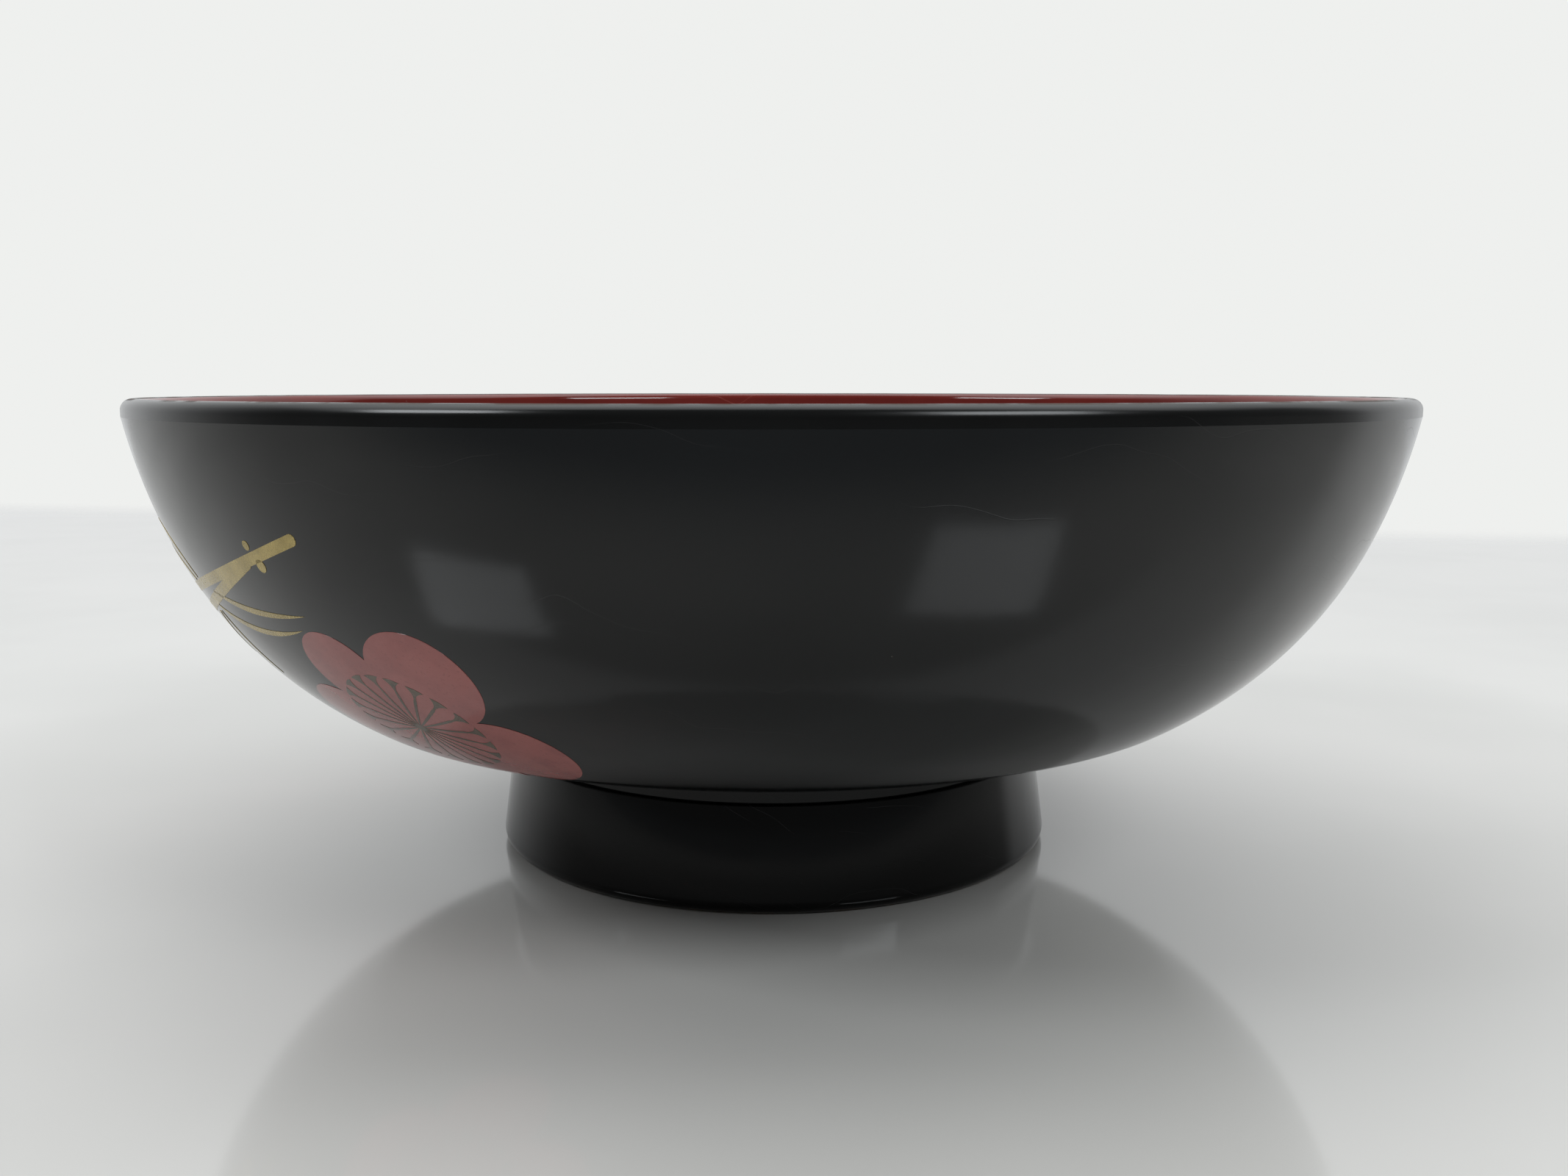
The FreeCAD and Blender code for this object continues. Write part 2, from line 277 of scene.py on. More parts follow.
def blossomOutline():
    petals = blossoms["petals"]
    notches = [petalNotch(a, b) for a, b in zip(petals, petals[1:] + petals[:1])]
    tips = [fromMiddle(direction, distance + radius) for direction, distance, radius in petals]
    return [arcThrough(a, tip, b, 28) for a, tip, b in zip(notches[-1:] + notches[:-1], tips, notches)]


def strokeOutline(points, startWidth, endWidth):
    # two arcs a width apart, and a round tip
    centre, radius, first, last, steps = arcThrough(*points, 24)
    way = 1 if last > first else -1
    slopes = (first, slopeAt(centre, points[1]), last)
    halves = (startWidth / 2, (startWidth + endWidth) / 4, endWidth / 2)
    far = [onArc(centre, radius + half, slope) for slope, half in zip(slopes, halves)]
    near = [onArc(centre, radius - half, slope) for slope, half in zip(slopes, halves)]
    forward = (way * cos(radians(last)), way * sin(radians(last)))
    tip = (points[2][0] + forward[0] * endWidth / 2, points[2][1] + forward[1] * endWidth / 2)
    return [
        arcThrough(*far, steps), arcThrough(far[-1], tip, near[-1], 8),
        arcThrough(*reversed(near), steps),
    ]


def needleOutline(root, tip, bend):
    # widest beyond the middle, with a pointed tip
    across = (root[1] - tip[1], tip[0] - root[0])
    aside = tuple(step / hypot(*across) for step in across)
    reach = needles["widestAt"]
    middle = tuple(root[i] * (1 - reach) + tip[i] * reach + across[i] * bend for i in (0, 1))
    halves = ((root, needles["rootWidth"] / 2), (middle, needles["width"] / 2))
    far = [tuple(place[i] + aside[i] * half for i in (0, 1)) for place, half in halves]
    near = [tuple(place[i] - aside[i] * half for i in (0, 1)) for place, half in halves]
    return [arcThrough(*far, tip, 24), arcThrough(tip, *reversed(near), 24)]


def carryThrough(piece, place, further=0):
    # the outline becomes a long cutter, stood square to the wall at its place; cutters that
    # overlap go through further by different lengths, so that their ends don't share a plane
    start, length = (cutter["start"] - further) * mm, (cutter["length"] + 2 * further) * mm
    bpy.ops.mesh.select_all(action="SELECT")
    bpy.ops.mesh.edge_face_add()
    bpy.ops.transform.translate(value=(0, start, 0))
    bpy.ops.mesh.extrude_region_move(TRANSFORM_OT_translate={"value": (0, length, 0)})
    bpy.ops.mesh.select_all(action="SELECT")
    bpy.ops.mesh.normals_make_consistent(inside=False)
    bpy.ops.object.mode_set(mode="OBJECT")
    azimuth, slope, turn = place
    x, z = onArc(bellyCentre, bowl["bellyRadius"], slope)
    upright = Matrix.Rotation(radians(azimuth + 90), 4, "Z")
    seat = Matrix.Rotation(radians(azimuth), 4, "Z") @ Vector((x * mm, 0, z * mm))
    lean = Matrix.Rotation(radians(90 - slope), 4, "X")
    piece.matrix_world = Matrix.Translation(seat) @ upright @ lean @ Matrix.Rotation(radians(-turn), 4, "Y")
    bpy.ops.object.transform_apply(location=True, rotation=True, scale=True)
    return piece


def wallLayer(low, high):
    # a thin layer over the wall, in line with the coat's own faces, kept only where the motif lies
    layer = turnPiece("layer", wallOutline(-low) + backwards(wallOutline(-high)))
    bpy.ops.object.mode_set(mode="EDIT")
    for azimuth, side in ((painted["from"], 1), (painted["to"], -1)):
        across = (-side * sin(radians(azimuth)), side * cos(radians(azimuth)), 0)
        bpy.ops.mesh.select_all(action="SELECT")
        bpy.ops.mesh.bisect(plane_co=(0, 0, 0), plane_no=across, use_fill=True, clear_inner=True)
    bpy.ops.object.mode_set(mode="OBJECT")
    return layer


def useBoolean(piece, operation, other):
    tool = piece.modifiers.new("tool", "BOOLEAN")
    tool.operation, tool.solver, tool.object = operation, "EXACT", other
    bpy.ops.object.select_all(action="DESELECT")
    bpy.context.view_layer.objects.active = piece
    piece.select_set(True)
    bpy.ops.object.modifier_apply(modifier="tool")
    bpy.data.objects.remove(other)


def layOnWall(name, cutters, layer):
    # what the cutters share with the layer
    bpy.ops.object.select_all(action="DESELECT")
    layer.select_set(True)
    bpy.context.view_layer.objects.active = layer
    bpy.ops.object.duplicate()
    piece = bpy.context.object
    piece.name = piece.data.name = name
    for other in cutters[1:]:
        useBoolean(cutters[0], "UNION", other)
    useBoolean(piece, "INTERSECT", cutters[0])
    bpy.ops.object.shade_smooth_by_angle(angle=radians(30))
    print("laid", name, len(piece.data.polygons), "faces")
    return piece


def drawStamens():
    # one stamen between two hub corners, then copies all round that meet at those corners
    halfStep = 180 / stamens["count"]
    wide = (stamens["headEnd"], stamens["headWidth"] / 2)
    neck = (stamens["neck"], stamens["filamentWidth"] / 2)
    flare = (stamens["flare"], stamens["flareWidth"] / 2)
    crown = (stamens["headEnd"] + stamens["crown"], 0)
    below = [(x, -z) for x, z in (neck, flare, wide)]
    outline = [
        fromMiddle(-halfStep, stamens["hubRadius"]), (stamens["thinUntil"], -stamens["thinWidth"] / 2),
        arcThrough(*below, 8), arcThrough(below[-1], crown, wide, 8), arcThrough(wide, flare, neck, 8),
        (stamens["thinUntil"], stamens["thinWidth"] / 2), fromMiddle(halfStep, stamens["hubRadius"]),
    ]
    piece = drawOutline("stamenCutter", outline)
    bpy.ops.mesh.spin(
        steps=stamens["count"] - 1, dupli=True, angle=radians(360 - 2 * halfStep),
        center=(0, 0, 0), axis=(0, 1, 0),
    )
    bpy.ops.mesh.select_all(action="SELECT")
    bpy.ops.mesh.remove_doubles(threshold=2e-6)
    return piece


petalLayer = wallLayer(0, blossoms["height"])
petalCutters = [carryThrough(drawOutline("cutter", blossomOutline(), True), p) for p in blossoms["places"]]
petalPiece = layOnWall("plumPetals", petalCutters, petalLayer)
stamenLayer = wallLayer(blossoms["height"], blossoms["height"] + stamens["height"])
stamenPlaces = [(azimuth, slope, turn + stamens["first"]) for azimuth, slope, turn in blossoms["places"]]
stamenCutters = [carryThrough(drawStamens(), place) for place in stamenPlaces]
stamenPiece = layOnWall("plumStamens", stamenCutters, stamenLayer)
goldLayer = wallLayer(0, twig["height"])
strokes = [strokeOutline(points, twig["width"], twig["width"]) for points in twig["strokes"]]
twigCutters = [
    carryThrough(drawOutline("cutter", stroke, True), twig["place"], further)
    for further, stroke in enumerate(strokes)
]
twigPiece = layOnWall("goldTwig", twigCutters, goldLayer)
needleShapes = zip(needles["roots"], needles["tips"], needles["bends"])
needleOutlines = [needleOutline(*shape) for shape in needleShapes]
needleCutters = [
    carryThrough(drawOutline("cutter", line, True), twig["place"], further)
    for further, line in enumerate(needleOutlines)
]
needlePiece = layOnWall("goldNeedles", needleCutters, goldLayer)
dotOutlines = [[((x, z), radius, 0, 360, 24)] for x, z, radius in dots]
dotCutters = [carryThrough(drawOutline("cutter", line), twig["place"]) for line in dotOutlines]
dotPiece = layOnWall("goldDots", dotCutters, goldLayer)
for layer in (petalLayer, stamenLayer, goldLayer):
    bpy.data.objects.remove(layer)


# shader helpers
def addNode(tree, kind, settings=None, **values):
    node = tree.nodes.new(kind)
    for key, value in (settings or {}).items():
        setattr(node, key, value)
    for key, value in values.items():
        node.inputs[key.replace("_", " ")].default_value = value
    return node


def wire(tree, source, target, output=0, into=0):
    tree.links.new(source.outputs[output], target.inputs[into])


def startGroup(name, inputs, outputs):
    group = bpy.data.node_groups.new(name, "ShaderNodeTree")
    for socket, value in inputs.items():
        kind = "NodeSocketVector" if value is None else "NodeSocketFloat"
        item = group.interface.new_socket(socket, in_out="INPUT", socket_type=kind)
        if value is not None:
            item.default_value = value
    for socket in outputs:
        group.interface.new_socket(socket, in_out="OUTPUT", socket_type="NodeSocketFloat")
    return group, group.nodes.new("NodeGroupInput"), group.nodes.new("NodeGroupOutput")


def addRange(tree, source, output, low, high, toLow, toHigh, smooth=True):
    node = addNode(tree, "ShaderNodeMapRange", {"interpolation_type": "SMOOTHSTEP" if smooth else "LINEAR"})
    for key, value in zip(("From Min", "From Max", "To Min", "To Max"), (low, high, toLow, toHigh)):
        node.inputs[key].default_value = value
    wire(tree, source, node, output, "Value")
    return node


def addMath(tree, operation, first, second, firstOutput=0, secondOutput=0):
    node = addNode(tree, "ShaderNodeMath", {"operation": operation})
    for i, (term, output) in enumerate(((first, firstOutput), (second, secondOutput))):
        if isinstance(term, (int, float)):
            node.inputs[i].default_value = term
        else:
            wire(tree, term, node, output, i)
    return node


# shared effects
def makeLacquerFlow():
    # slow waves left by the lacquer as it levels, with a finer skin on them
    group, given, result = startGroup(
        "lacquerFlow", {"Vector": None, "Wave Size": 9.0, "Skin": 0.15}, ["Height"]
    )
    rate = addMath(group, "DIVIDE", 1000.0, given, secondOutput="Wave Size")
    wave = addNode(group, "ShaderNodeTexNoise", Detail=1.0, Roughness=0.4, Distortion=0.3)
    skin = addNode(group, "ShaderNodeTexNoise", Detail=1.0, Roughness=0.5)
    finer = addMath(group, "MULTIPLY", rate, 6.5)
    for texture, pace in ((wave, rate), (skin, finer)):
        wire(group, given, texture, "Vector", "Vector")
        wire(group, pace, texture, 0, "Scale")
    share = addMath(group, "MULTIPLY", skin, given, 0, "Skin")
    total = addMath(group, "ADD", wave, share)
    wire(group, total, result, 0, "Height")
    return group


def makeRestingDust():
    # few fine specks, each its own size, that lie on what faces up
    group, given, result = startGroup(
        "restingDust", {"Vector": None, "Spacing": 4.0, "Amount": 0.3}, ["Mask"]
    )
    rate = addMath(group, "DIVIDE", 1000.0, given, secondOutput="Spacing")
    speck = addNode(group, "ShaderNodeTexVoronoi", {"feature": "F1"})
    wire(group, given, speck, "Vector", "Vector")
    wire(group, rate, speck, 0, "Scale")
    pick = addNode(group, "ShaderNodeSeparateColor")
    wire(group, speck, pick, "Color")
    size = addMath(group, "MULTIPLY", pick, 0.045)
    inside = addMath(group, "LESS_THAN", speck, size, "Distance")
    chosen = addMath(group, "LESS_THAN", pick, given, "Green", "Amount")
    both = addMath(group, "MULTIPLY", inside, chosen)
    facing = addNode(group, "ShaderNodeNewGeometry")
    up = addNode(group, "ShaderNodeSeparateXYZ")
    wire(group, facing, up, "Normal")
    lies = addRange(group, up, "Z", -0.2, 0.6, 0.15, 1.0)
    total = addMath(group, "MULTIPLY", both, lies)
    wire(group, total, result, 0, "Mask")
    return group


def makeHairScratches():
    # sparse fine lines round the axis, broken up so that they come and go
    group, given, result = startGroup(
        "hairScratches", {"Vector": None, "Spacing": 3.0, "Amount": 0.5}, ["Mask"]
    )
    place = addNode(group, "ShaderNodeSeparateXYZ")
    wire(group, given, place, "Vector")
    turn = addMath(group, "ARCTAN2", place, place, "Y", "X")
    drift = addNode(group, "ShaderNodeTexNoise", Scale=35.0, Detail=2.0)
    wire(group, given, drift, "Vector", "Vector")
    rate = addMath(group, "DIVIDE", 1000.0, given, secondOutput="Spacing")
    tilt = addMath(group, "MULTIPLY", turn, 0.012)
    sway = addMath(group, "MULTIPLY", drift, 0.02)
    height = addMath(group, "ADD", place, tilt, "Z")
    leant = addMath(group, "ADD", height, sway)
    steps = addMath(group, "MULTIPLY", leant, rate)
    line = addMath(group, "FRACT", steps, 0.0)
    cell = addMath(group, "FLOOR", steps, 0.0)
    seed = addNode(group, "ShaderNodeCombineXYZ")
    slowTurn = addMath(group, "MULTIPLY", turn, 1.7)
    wire(group, cell, seed, 0, "X")
    wire(group, slowTurn, seed, 0, "Y")
    part = addNode(group, "ShaderNodeTexNoise", Scale=1.3, Detail=1.0)
    wire(group, seed, part, 0, "Vector")
    where = addRange(group, part, "Fac", 0.58, 0.66, 0.0, 1.0)
    offset = addMath(group, "SUBTRACT", line, 0.5)
    near = addMath(group, "ABSOLUTE", offset, 0.0)
    thin = addRange(group, near, 0, 0.0, 0.03, 1.0, 0.0)
    cut = addMath(group, "MULTIPLY", thin, where)
    total = addMath(group, "MULTIPLY", cut, given, 0, "Amount")
    wire(group, total, result, 0, "Mask")
    return group


def makeContactWear():
    # rubbed patches near the height Level, broken by noise
    group, given, result = startGroup(
        "contactWear", {"Vector": None, "Level": 0.0, "Reach": 1.0, "Patch Size": 5.0}, ["Mask"]
    )
    place = addNode(group, "ShaderNodeSeparateXYZ")
    wire(group, given, place, "Vector")
    height = addMath(group, "MULTIPLY", place, 1000.0, "Z")
    away = addMath(group, "SUBTRACT", height, given, 0, "Level")
    gap = addMath(group, "ABSOLUTE", away, 0.0)
    share = addMath(group, "DIVIDE", gap, given, 0, "Reach")
    near = addRange(group, share, 0, 0.0, 1.0, 1.0, 0.0)
    rate = addMath(group, "DIVIDE", 1000.0, given, secondOutput="Patch Size")
    patch = addNode(group, "ShaderNodeTexNoise", Detail=5.0, Roughness=0.65)
    wire(group, given, patch, "Vector", "Vector")
    wire(group, rate, patch, 0, "Scale")
    broken = addRange(group, patch, "Fac", 0.42, 0.62, 0.0, 1.0)
    total = addMath(group, "MULTIPLY", near, broken)
    wire(group, total, result, 0, "Mask")
    return group


def makePaintGrain():
    # fine printed grain and slower cloudy patches of a hand-laid colour
    group, given, result = startGroup(
        "paintGrain", {"Vector": None, "Grain Size": 0.35, "Cloud Size": 7.0}, ["Grain", "Cloud"]
    )
    for size, output, detail in (("Grain Size", "Grain", 2.0), ("Cloud Size", "Cloud", 3.0)):
        rate = addMath(group, "DIVIDE", 1000.0, given, secondOutput=size)
        texture = addNode(group, "ShaderNodeTexNoise", Detail=detail, Roughness=0.6)
        wire(group, given, texture, "Vector", "Vector")
        wire(group, rate, texture, 0, "Scale")
        wire(group, texture, result, "Fac", output)
    return group


groups = {
    "flow": makeLacquerFlow(), "dust": makeRestingDust(), "scratches": makeHairScratches(),
    "wear": makeContactWear(), "grain": makePaintGrain(),
}


def placeGroup(tree, name, coordinates, **values):
    node = tree.nodes.new("ShaderNodeGroup")
    node.node_tree = groups[name]
    for key, value in values.items():
        node.inputs[key].default_value = value
    wire(tree, coordinates, node, "Object", "Vector")
    return node


def startMaterial(name):
    material = bpy.data.materials.new(name)
    material.use_nodes = True
    tree = material.node_tree
    shader = tree.nodes["Principled BSDF"]
    return material, tree, shader, addNode(tree, "ShaderNodeTexCoord")


def addMix(tree, factor, first, second, factorOutput=0):
    # first and second are colours, or colour nodes
    node = addNode(tree, "ShaderNodeMix", {"data_type": "RGBA"})
    wire(tree, factor, node, factorOutput, 0)
    for i, term in ((6, first), (7, second)):
        if isinstance(term, tuple):
            node.inputs[i].default_value = (*term, 1)
        else:
            wire(tree, term, node, 2 if term.bl_idname == "ShaderNodeMix" else 0, i)
    return node


def addBump(tree, height, output, distance, shader):
    bump = addNode(tree, "ShaderNodeBump", Strength=1.0, Distance=distance)
    wire(tree, height, bump, output, "Height")
    wire(tree, bump, shader, 0, "Normal")
    return bump


# how dust, scratches and wear change the gloss and the surface of any lacquer
marks = {
    "dustColour": (0.30, 0.28, 0.25), "rougher": 0.25, "wornRougher": 0.45, "scratchDip": -0.35,
    "speckHeight": 0.8, "driftScale": 28.0,
}


def finishLacquer(name, look):
    # glossy lacquer: slow colour drift, levelling waves, fine scratches, dust and worn places
    material, tree, shader, coordinates = startMaterial(name)
    shader.inputs["IOR"].default_value = look["ior"]
    flow = placeGroup(tree, "flow", coordinates, **{"Wave Size": look["waveSize"], "Skin": look["skin"]})
    dust = placeGroup(tree, "dust", coordinates, Spacing=look["dustSpacing"], Amount=look["dust"])
    scratch = placeGroup(
        tree, "scratches", coordinates, Spacing=look["scratchSpacing"], Amount=look["scratches"],
    )
    drift = addNode(tree, "ShaderNodeTexNoise", Scale=marks["driftScale"], Detail=3.0, Roughness=0.55)
    wire(tree, coordinates, drift, "Object", "Vector")
    drifted = addRange(tree, drift, "Fac", 0.35, 0.65, 0.0, 1.0)
    base = addMix(tree, drifted, look["deep"], look["pale"])
    scored = addMix(tree, scratch, base, look["scored"])
    dusty = addMix(tree, dust, scored, marks["dustColour"])
    wear = placeGroup(tree, "wear", coordinates, **look["wear"])
    worn = addMix(tree, wear, dusty, look["worn"])
    wire(tree, worn, shader, 2, "Base Color")
    sheen = addRange(tree, drift, "Fac", 0.3, 0.7, look["gloss"][0], look["gloss"][1])
    marked = addMath(tree, "MAXIMUM", scratch, dust)
    rubbed = addMath(tree, "MULTIPLY", marked, marks["rougher"])
    wearing = addMath(tree, "MULTIPLY", wear, marks["wornRougher"])
    rougher = addMath(tree, "ADD", sheen, rubbed)
    total = addMath(tree, "ADD", rougher, wearing)
    wire(tree, total, shader, 0, "Roughness")
    dip = addMath(tree, "MULTIPLY", scratch, marks["scratchDip"])
    speck = addMath(tree, "MULTIPLY", dust, marks["speckHeight"])
    relief = addMath(tree, "ADD", flow, dip, "Height")
    height = addMath(tree, "ADD", relief, speck)
    addBump(tree, height, 0, look["waveHeight"], shader)
    return material


lacquer = {
    "black": {
        "deep": (0.0010, 0.0014, 0.0016), "pale": (0.0019, 0.0025, 0.0028), "scored": (0.02, 0.02, 0.02),
        "gloss": (0.105, 0.140), "ior": 1.40, "waveSize": 13.0, "skin": 0.06, "waveHeight": 0.000035,
        "dustSpacing": 4.5, "dust": 0.22, "scratchSpacing": 3.1, "scratches": 0.5,
        "worn": (0.045, 0.022, 0.012), "wear": {"Level": rimHeight, "Reach": 0.35, "Patch Size": 14.0},
    },
    "lip": {
        "deep": (0.0013, 0.0015, 0.0014), "pale": (0.0024, 0.0026, 0.0025), "scored": (0.02, 0.02, 0.02),
        "gloss": (0.17, 0.24), "ior": 1.42, "waveSize": 11.0, "skin": 0.10, "waveHeight": 0.000012,
        "dustSpacing": 4.5, "dust": 0.22, "scratchSpacing": 3.1, "scratches": 0.5,
        "worn": (0.045, 0.022, 0.012), "wear": {"Level": rimHeight, "Reach": 0.35, "Patch Size": 14.0},
    },
    "foot": {
        "deep": (0.0010, 0.0011, 0.0011), "pale": (0.0018, 0.0020, 0.0019), "scored": (0.02, 0.02, 0.02),
        "gloss": (0.07, 0.11), "ior": 1.33, "waveSize": 8.0, "skin": 0.12, "waveHeight": 0.000012,
        "dustSpacing": 4.0, "dust": 0.2, "scratchSpacing": 2.3, "scratches": 0.8,
        "worn": (0.10, 0.045, 0.02), "wear": {"Level": 0.0, "Reach": 0.8, "Patch Size": 5.0},
    },
    "red": {
        "deep": (0.150, 0.014, 0.010), "pale": (0.190, 0.020, 0.014), "scored": (0.30, 0.06, 0.045),
        "gloss": (0.06, 0.10), "ior": 1.5, "waveSize": 12.0, "skin": 0.10, "waveHeight": 0.000012,
        "dustSpacing": 5.0, "dust": 0.25, "scratchSpacing": 4.0, "scratches": 0.7,
        "worn": (0.145, 0.014, 0.010), "wear": {"Level": 24.0, "Reach": 2.0, "Patch Size": 9.0},
    },
}
blackLacquer = finishLacquer("blackLacquer", lacquer["black"])
lipLacquer = finishLacquer("lipLacquer", lacquer["lip"])
footLacquer = finishLacquer("footLacquer", lacquer["foot"])
redLacquer = finishLacquer("redLacquer", lacquer["red"])
print("lacquer mixed")


clearGloss = {"ior": 1.5, "skin": 0.2, "waveHeight": 0.000012}  # over every paint


def finishPaint(name, look):
    # printed and hand-laid colour under the same clear gloss
    material, tree, shader, coordinates = startMaterial(name)
    shader.inputs["IOR"].default_value = clearGloss["ior"]
    shader.inputs["Metallic"].default_value = look["metal"]
    sizes = {"Grain Size": look["grainSize"], "Cloud Size": look["cloudSize"]}
    grain = placeGroup(tree, "grain", coordinates, **sizes)
    levelling = {"Wave Size": look["waveSize"], "Skin": clearGloss["skin"]}
    flow = placeGroup(tree, "flow", coordinates, **levelling)
    cloudy = addRange(tree, grain, "Cloud", 0.35, 0.65, 0.0, 1.0)
    base = addMix(tree, cloudy, look["deep"], look["pale"])
    pits = addRange(tree, grain, "Grain", 0.30, 0.42, look["pitShare"], 0.0)
    pitted = addMix(tree, pits, base, look["pit"])
    wire(tree, pitted, shader, 2, "Base Color")
    gloss = addRange(tree, grain, "Grain", 0.3, 0.7, look["gloss"][0], look["gloss"][1], smooth=False)
    wire(tree, gloss, shader, 0, "Roughness")
    fine = addMath(tree, "MULTIPLY", grain, look["grainHeight"], "Grain")
    height = addMath(tree, "ADD", flow, fine, "Height")
    addBump(tree, height, 0, clearGloss["waveHeight"], shader)
    return material


paint = {
    "rose": {
        "deep": (0.285, 0.076, 0.070), "pale": (0.340, 0.096, 0.086), "pit": (0.16, 0.05, 0.046),
        "pitShare": 0.35, "metal": 0.0, "gloss": (0.07, 0.14), "grainSize": 0.5, "cloudSize": 8.0,
        "waveSize": 9.0, "grainHeight": 0.05,
    },
    "brown": {
        "deep": (0.062, 0.043, 0.024), "pale": (0.095, 0.068, 0.040), "pit": (0.20, 0.09, 0.075),
        "pitShare": 0.5, "metal": 0.0, "gloss": (0.10, 0.18), "grainSize": 0.4, "cloudSize": 4.0,
        "waveSize": 9.0, "grainHeight": 0.08,
    },
    "gold": {
        "deep": (0.315, 0.235, 0.062), "pale": (0.42, 0.32, 0.098), "pit": (0.10, 0.07, 0.02),
        "pitShare": 0.6, "metal": 0.35, "gloss": (0.14, 0.34), "grainSize": 0.28, "cloudSize": 5.0,
        "waveSize": 8.0, "grainHeight": 0.25,
    },
}
rosePaint = finishPaint("rosePaint", paint["rose"])
brownPaint = finishPaint("brownPaint", paint["brown"])
goldPaint = finishPaint("goldPaint", paint["gold"])
print("paint mixed")


# wood under the lacquer
wood = {
    "early": (0.52, 0.36, 0.20), "late": (0.33, 0.19, 0.09), "ringWidth": 3.2, "poreSize": 0.5,
    "gloss": (0.45, 0.65), "relief": 0.00005,
}


def finishWood(name):
    # growth rings across a blank cut beside the heart, with fine pores along the grain
    material, tree, shader, coordinates = startMaterial(name)
    lie = addNode(tree, "ShaderNodeMapping", Location=(0.10, 0.02, 0.07), Rotation=(radians(84), 0.05, 0.2))
    wire(tree, coordinates, lie, "Object", "Vector")
    rings = addNode(
        tree, "ShaderNodeTexWave", {"wave_type": "RINGS", "rings_direction": "Z", "wave_profile": "SAW"},
        Scale=20 / wood["ringWidth"] * 16, Distortion=3.0, Detail=2.0, Detail_Scale=0.6, Detail_Roughness=0.5,
    )
    wire(tree, lie, rings, 0, "Vector")
    stretch = addNode(tree, "ShaderNodeMapping", Scale=(1, 1, 0.06))
    wire(tree, lie, stretch, 0, "Vector")
    pores = addNode(tree, "ShaderNodeTexNoise", Scale=1000 / wood["poreSize"], Detail=2.0)
    wire(tree, stretch, pores, 0, "Vector")
    bands = addRange(tree, rings, "Fac", 0.1, 0.95, 0.0, 1.0)
    base = addMix(tree, bands, wood["early"], wood["late"])
    opened = addRange(tree, pores, "Fac", 0.30, 0.42, 0.6, 0.0)
    pored = addMix(tree, opened, base, (0.16, 0.085, 0.04))
    wire(tree, pored, shader, 2, "Base Color")
    gloss = addRange(tree, rings, "Fac", 0.0, 1.0, wood["gloss"][1], wood["gloss"][0])
    wire(tree, gloss, shader, 0, "Roughness")
    height = addMath(tree, "SUBTRACT", bands, opened)
    addBump(tree, height, 0, wood["relief"], shader)
    return material


turnedWood = finishWood("turnedWood")
for node in ("bowl_core", "foot_ring_core"):
    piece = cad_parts[node]
    if not piece.material_slots:
        piece.data.materials.append(turnedWood)
    for slot in piece.material_slots:
        slot.material = turnedWood
print("wood finished")

# each new piece: finish, slot name, and the piece of the frame it stands for
pieces = [
    (outerCoat, blackLacquer, "black_lacquer", "outer_black_coat"),
    (lipCoat, lipLacquer, "black_lacquer", "lip_black_coat"),
    (innerCoat, redLacquer, "red_lacquer", "inner_red_coat"),
    (footCoat, footLacquer, "black_lacquer", "foot_black_coat"),
    (baseCoat, footLacquer, "black_lacquer", "base_black_coat"),
    (petalPiece, rosePaint, "rose_paint", "plum_petals"),
    (stamenPiece, brownPaint, "brown_paint", "plum_stamens"),
    (twigPiece, goldPaint, "gold_paint", "gold_twig"),
    (needlePiece, goldPaint, "gold_paint", "gold_needles"),
    (dotPiece, goldPaint, "gold_paint", "gold_dots"),
]
for piece, material, slot, node in pieces:
    piece.data.materials.clear()
    piece.data.materials.append(material)
    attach(piece, "root")
    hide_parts(node)
print("pieces finished")

# table
table = {
    "size": 6.0, "colour": (0.66, 0.645, 0.62), "cloud": (0.60, 0.59, 0.565),
    "gloss": (0.065, 0.085), "ior": 1.8,
    # colour and reach of the painted shadow on the near table, seen only in reflections
    "paintedShadowColour": (0.29, 0.30, 0.31), "paintedShadowFrom": -0.15, "paintedShadowTo": -0.27,
    "edge": 0.64, "edgeTurn": -12.0, "edgeSoft": 0.05,
}
bpy.ops.object.select_all(action="DESELECT")
bpy.ops.mesh.primitive_plane_add(size=table["size"], location=(0, 0, 0))
tableTop = bpy.context.object
tableTop.name = tableTop.data.name = "tableTop"
material, tree, shader, coordinates = startMaterial("paleTable")
shader.inputs["IOR"].default_value = table["ior"]
mottle = addNode(tree, "ShaderNodeTexNoise", Scale=6.0, Detail=3.0)
wire(tree, coordinates, mottle, "Object", "Vector")
tint = addMix(tree, addRange(tree, mottle, "Fac", 0.35, 0.65, 0.0, 1.0), table["colour"], table["cloud"])
# painted shadow: the glossy pieces mirror a darker near part of the table, a shade painted into its colour as
# under a person who stands there; seen directly the table stays pale
near = addNode(tree, "ShaderNodeSeparateXYZ")
wire(tree, coordinates, near, "Object")
shaded = addRange(tree, near, "Y", table["paintedShadowTo"], table["paintedShadowFrom"], 1.0, 0.0)
mirrored = addNode(tree, "ShaderNodeLightPath")
paintedShadowMask = addMath(tree, "MULTIPLY", shaded, mirrored, 0, "Is Glossy Ray")
wire(tree, addMix(tree, paintedShadowMask, tint, table["paintedShadowColour"]), shader, 2, "Base Color")
wire(tree, addRange(tree, mottle, "Fac", 0.3, 0.7, *table["gloss"]), shader, 0, "Roughness")
# past its far edge the table gives way to the white room
edgeTurn = (0, 0, radians(table["edgeTurn"]))
lie = addNode(tree, "ShaderNodeMapping", {"vector_type": "TEXTURE"}, Rotation=edgeTurn)
wire(tree, coordinates, lie, "Object", "Vector")
away = addNode(tree, "ShaderNodeSeparateXYZ")
wire(tree, lie, away)
nearEdge, farEdge = table["edge"] - table["edgeSoft"], table["edge"] + table["edgeSoft"]
past = addRange(tree, away, "Y", nearEdge, farEdge, 1.0, 0.0)
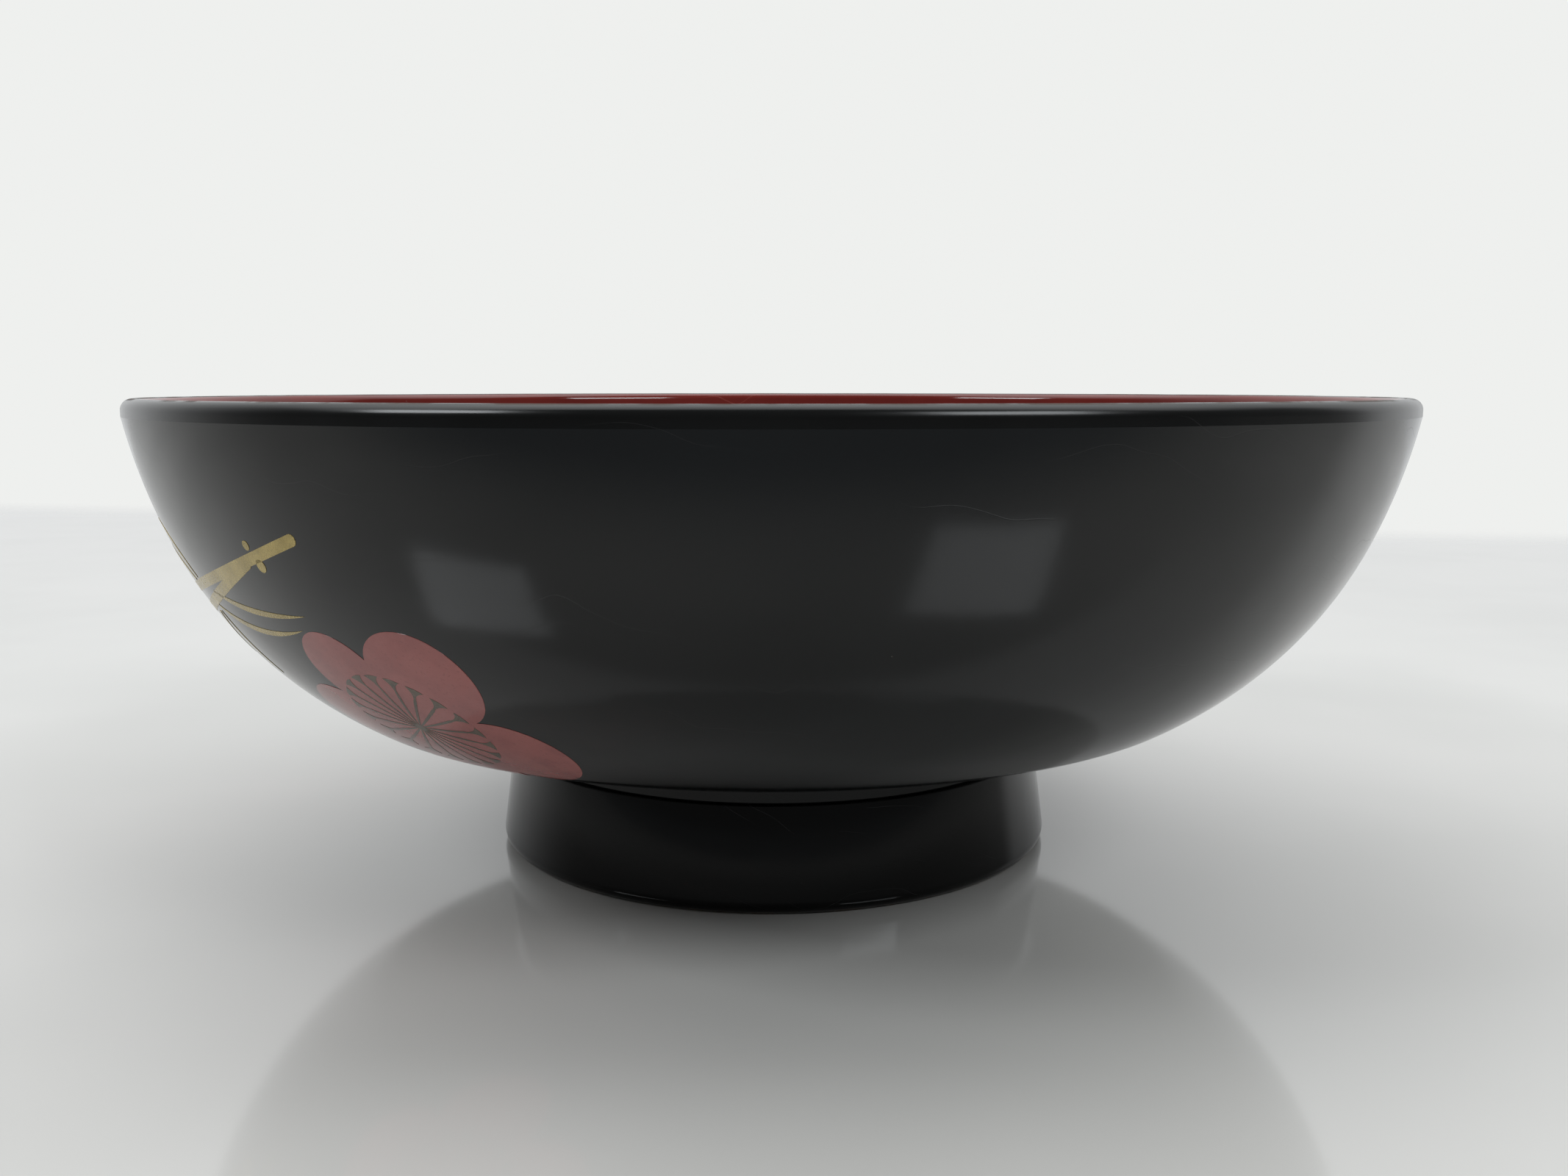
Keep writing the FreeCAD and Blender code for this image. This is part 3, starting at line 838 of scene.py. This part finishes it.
# and from below it lets the foot be seen
under = addNode(tree, "ShaderNodeNewGeometry")
fromAbove = addMath(tree, "SUBTRACT", 1.0, under, 0, "Backfacing")
wire(tree, addMath(tree, "MULTIPLY", past, fromAbove), shader, 0, "Alpha")
tableTop.data.materials.append(material)

# light
room = {
    "front": 0.14, "back": 0.85, "above": 2.2, "seen": (0.86, 0.87, 0.855),
    "tint": {"Red": 0.98, "Green": 1.0, "Blue": 1.01},
    "leftEdge": 72.0, "rightEdge": 67.0, "leftSoft": 0.40, "rightSoft": 0.10,
    "aboveFrom": 0.45, "aboveTo": 0.9, "aboveFront": -0.18, "aboveBack": -0.06,
}
world = bpy.data.worlds.new("room")
bpy.context.scene.world = world
world.use_nodes = True
tree = world.node_tree
background = tree.nodes["Background"]
direction = addNode(tree, "ShaderNodeTexCoord")


def beyondEdge(across, soft):
    # 1 on the far side of an upright plane, 0 on the near side
    side = addNode(tree, "ShaderNodeVectorMath", {"operation": "DOT_PRODUCT"})
    side.inputs[1].default_value = across
    wire(tree, direction, side, "Generated")
    return addRange(tree, side, "Value", -soft, soft, 0.0, 1.0)


left, right = radians(room["leftEdge"]), radians(room["rightEdge"])
leftShare = beyondEdge((cos(left), sin(left), 0), room["leftSoft"])
rightShare = beyondEdge((-cos(right), sin(right), 0), room["rightSoft"])
behind = addMath(tree, "MULTIPLY", leftShare, rightShare)
parts = addNode(tree, "ShaderNodeSeparateXYZ")
wire(tree, direction, parts, "Generated")
sides = addRange(tree, behind, 0, 0.0, 1.0, room["front"], room["back"], smooth=False)
high = addRange(tree, parts, "Z", room["aboveFrom"], room["aboveTo"], 0.0, 1.0)
notFront = addRange(tree, parts, "Y", room["aboveFront"], room["aboveBack"], 0.0, 1.0)
overhead = addMath(tree, "MULTIPLY", addMath(tree, "MULTIPLY", high, notFront), room["above"])
depth = addMath(tree, "MAXIMUM", sides, overhead)
lit = addNode(tree, "ShaderNodeCombineColor")
for channel in ("Red", "Green", "Blue"):
    wire(tree, addMath(tree, "MULTIPLY", depth, room["tint"][channel]), lit, 0, channel)
view = addNode(tree, "ShaderNodeLightPath")
colour = addMix(tree, view, lit, room["seen"], "Is Camera Ray")
wire(tree, colour, background, 2, "Color")

lamps = {
    "lampLeft": {
        "place": (-0.912, -0.430, 0.945), "across": (0.72, -0.61, 0.33), "size": (0.43, 0.38),
        "radiance": 9.5, "colour": (0.93, 0.97, 1.0),
    },
    "lampRight": {
        "place": (0.716, -0.745, 0.938), "across": (0.82, 0.556, -0.148), "size": (0.49, 0.45),
        "radiance": 8.3, "colour": (0.93, 0.97, 1.0),
    },
}
lampAim = Vector((0, 0, 0.04))
for name, lamp in lamps.items():
    data = bpy.data.lights.new(name, "AREA")
    data.shape, (data.size, data.size_y) = "RECTANGLE", lamp["size"]
    data.energy = lamp["radiance"] * pi * data.size * data.size_y
    data.color = lamp["colour"]
    light = bpy.data.objects.new(name, data)
    bpy.context.scene.collection.objects.link(light)
    back = (Vector(lamp["place"]) - lampAim).normalized()
    side = (Vector(lamp["across"]) - back * back.dot(Vector(lamp["across"]))).normalized()
    turn = Matrix((side, back.cross(side), back)).transposed().to_4x4()
    light.matrix_world = Matrix.Translation(lamp["place"]) @ turn
print("lights set")

# camera
camera = {"place": (0.00209, -0.28942, 0.09067), "pitch": -8.12, "lens": 32.59}
data = bpy.data.cameras.new("camera")
data.lens, data.sensor_width, data.sensor_fit = camera["lens"], 36.0, "HORIZONTAL"
data.clip_start = 0.005
seen = bpy.data.objects.new("camera", data)
bpy.context.scene.collection.objects.link(seen)
seen.location = camera["place"]
seen.rotation_euler = (radians(90 + camera["pitch"]), 0, 0)
bpy.context.scene.camera = seen
bpy.context.scene.view_settings.view_transform = "Standard"
